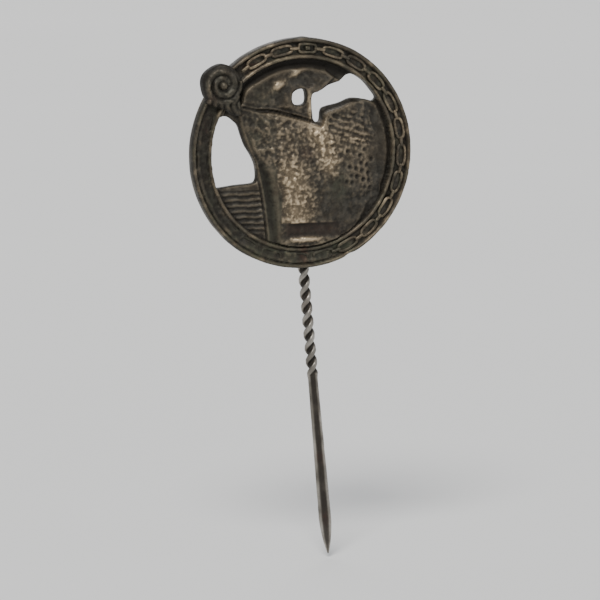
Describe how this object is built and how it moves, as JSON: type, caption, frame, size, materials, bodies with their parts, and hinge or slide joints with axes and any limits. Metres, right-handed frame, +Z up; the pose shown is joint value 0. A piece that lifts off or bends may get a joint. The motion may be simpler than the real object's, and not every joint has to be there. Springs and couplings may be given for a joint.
{
  "type": "stick pin badge",
  "caption": "Small round openwork badge with a chain rim and a ship's bow in relief, on a twisted stick-pin needle that holds it to cloth.",
  "frame": {"origin": "centre of the rim's flat back face, which lies against the cloth", "axes": "+Z up the badge, with the needle hanging towards -Z; the badge faces -Y and its flat back faces +Y; +X to the right of someone looking at its face"},
  "size_m": [0.016, 0.0026, 0.0366],
  "materials": {
    "struck_plate": "old tarnished silver plate, dark in the recesses, worn to brass on the high spots",
    "scroll": "old tarnished silver plate, worn on its edges",
    "needle_wire": "dark brown tarnish, rubbed brighter on the edges",
    "solder": "dull grey soft solder"
  },
  "bodies": {
    "root": {"badge_plate": "struck_plate", "billethead_scroll": "scroll", "needle": "needle_wire", "solder_head": "solder", "solder_rim": "solder"}
  },
  "joints": []
}
